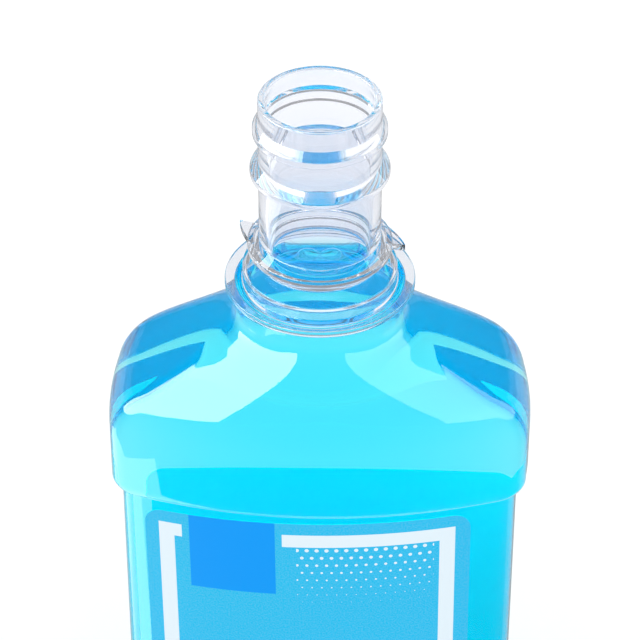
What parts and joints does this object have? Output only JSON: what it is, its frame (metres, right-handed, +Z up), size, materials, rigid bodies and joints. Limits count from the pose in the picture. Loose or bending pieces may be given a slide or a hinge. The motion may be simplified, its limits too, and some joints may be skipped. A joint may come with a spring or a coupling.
{
  "type": "mouthwash bottle",
  "caption": "Open flat-sided clear plastic bottle of blue mouthwash with a long neck with two closure beads, ratchet ring, support flange, hipped shoulder and film labels front and back.",
  "frame": {"origin": "middle of the base, on the surface that the bottle stands on", "axes": "+Z up along the bottle, +X to the right seen from the front label, -Y out of the front label"},
  "size_m": [0.0896, 0.048, 0.2094],
  "materials": {
    "clear_plastic": "clear, glossy",
    "blue_liquid": "clear liquid",
    "front_film": "satin printed film",
    "back_film": "satin printed film"
  },
  "bodies": {
    "root": {"bottle": "clear_plastic", "liquid": "blue_liquid", "front_label": "front_film", "back_label": "back_film"}
  },
  "joints": []
}
